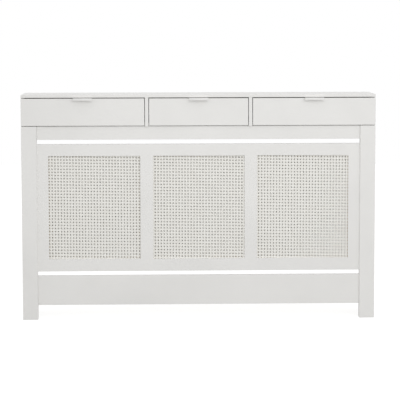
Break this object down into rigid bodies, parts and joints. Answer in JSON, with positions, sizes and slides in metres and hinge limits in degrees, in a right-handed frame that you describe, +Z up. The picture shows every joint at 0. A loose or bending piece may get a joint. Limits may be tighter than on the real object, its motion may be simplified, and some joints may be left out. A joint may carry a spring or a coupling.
{
  "type": "radiator cover cabinet",
  "caption": "White cabinet that stands over a radiator: shallow drawers with edge pulls over a frame of woven cane panels between air slots.",
  "frame": {"origin": "on the floor, in the middle of the box that holds the cabinet and its pulls", "axes": "+X along the cabinet to the right seen from the front, +Y from the front towards the wall, +Z up"},
  "size_m": [1.52, 0.236, 0.971],
  "materials": {
    "painted_board": "fibreboard sprayed satin white",
    "drawer_board": "fibreboard faced with white melamine",
    "hardboard": "thin hardboard painted white",
    "bead_wood": "bare softwood batten",
    "cane": "woven cane, whitened",
    "pull_metal": "powder coated satin white",
    "zinc_steel": "zinc plated",
    "white_plastic": "moulded white polypropylene",
    "felt": "self-adhesive felt"
  },
  "bodies": {
    "cabinet": {"top_board": "painted_board", "drawer_deck": "painted_board", "back_rail": "painted_board", "left_side_panel": "painted_board", "right_side_panel": "painted_board", "left_leg": "painted_board", "right_leg": "painted_board", "left_divider": "painted_board", "right_divider": "painted_board", "upper_rail": "painted_board", "cane_frame": "painted_board", "lower_rail": "painted_board", "cane_backing_board": "hardboard", "left_wall_bracket": "zinc_steel", "right_wall_bracket": "zinc_steel", "joint_plates": "zinc_steel", "corner_blocks": "white_plastic", "left_cane_panel": "cane", "middle_cane_panel": "cane", "right_cane_panel": "cane", "left_cane_beads": "bead_wood", "middle_cane_beads": "bead_wood", "right_cane_beads": "bead_wood", "left_drawer_guides": "white_plastic", "middle_drawer_guides": "white_plastic", "right_drawer_guides": "white_plastic"},
    "left_drawer": {"left_drawer_front": "painted_board", "left_drawer_left_side": "drawer_board", "left_drawer_right_side": "drawer_board", "left_drawer_back": "drawer_board", "left_drawer_bottom": "hardboard", "left_drawer_pull": "pull_metal", "left_drawer_bumpers": "felt"},
    "middle_drawer": {"middle_drawer_front": "painted_board", "middle_drawer_left_side": "drawer_board", "middle_drawer_right_side": "drawer_board", "middle_drawer_back": "drawer_board", "middle_drawer_bottom": "hardboard", "middle_drawer_pull": "pull_metal", "middle_drawer_bumpers": "felt"},
    "right_drawer": {"right_drawer_front": "painted_board", "right_drawer_left_side": "drawer_board", "right_drawer_right_side": "drawer_board", "right_drawer_back": "drawer_board", "right_drawer_bottom": "hardboard", "right_drawer_pull": "pull_metal", "right_drawer_bumpers": "felt"}
  },
  "joints": [
    {"name": "left_drawer_slide", "type": "slide", "parent": "cabinet", "child": "left_drawer", "axis": [0, -1, 0], "range_m": [0, 0.12]},
    {"name": "middle_drawer_slide", "type": "slide", "parent": "cabinet", "child": "middle_drawer", "axis": [0, -1, 0], "range_m": [0, 0.12]},
    {"name": "right_drawer_slide", "type": "slide", "parent": "cabinet", "child": "right_drawer", "axis": [0, -1, 0], "range_m": [0, 0.12]}
  ]
}
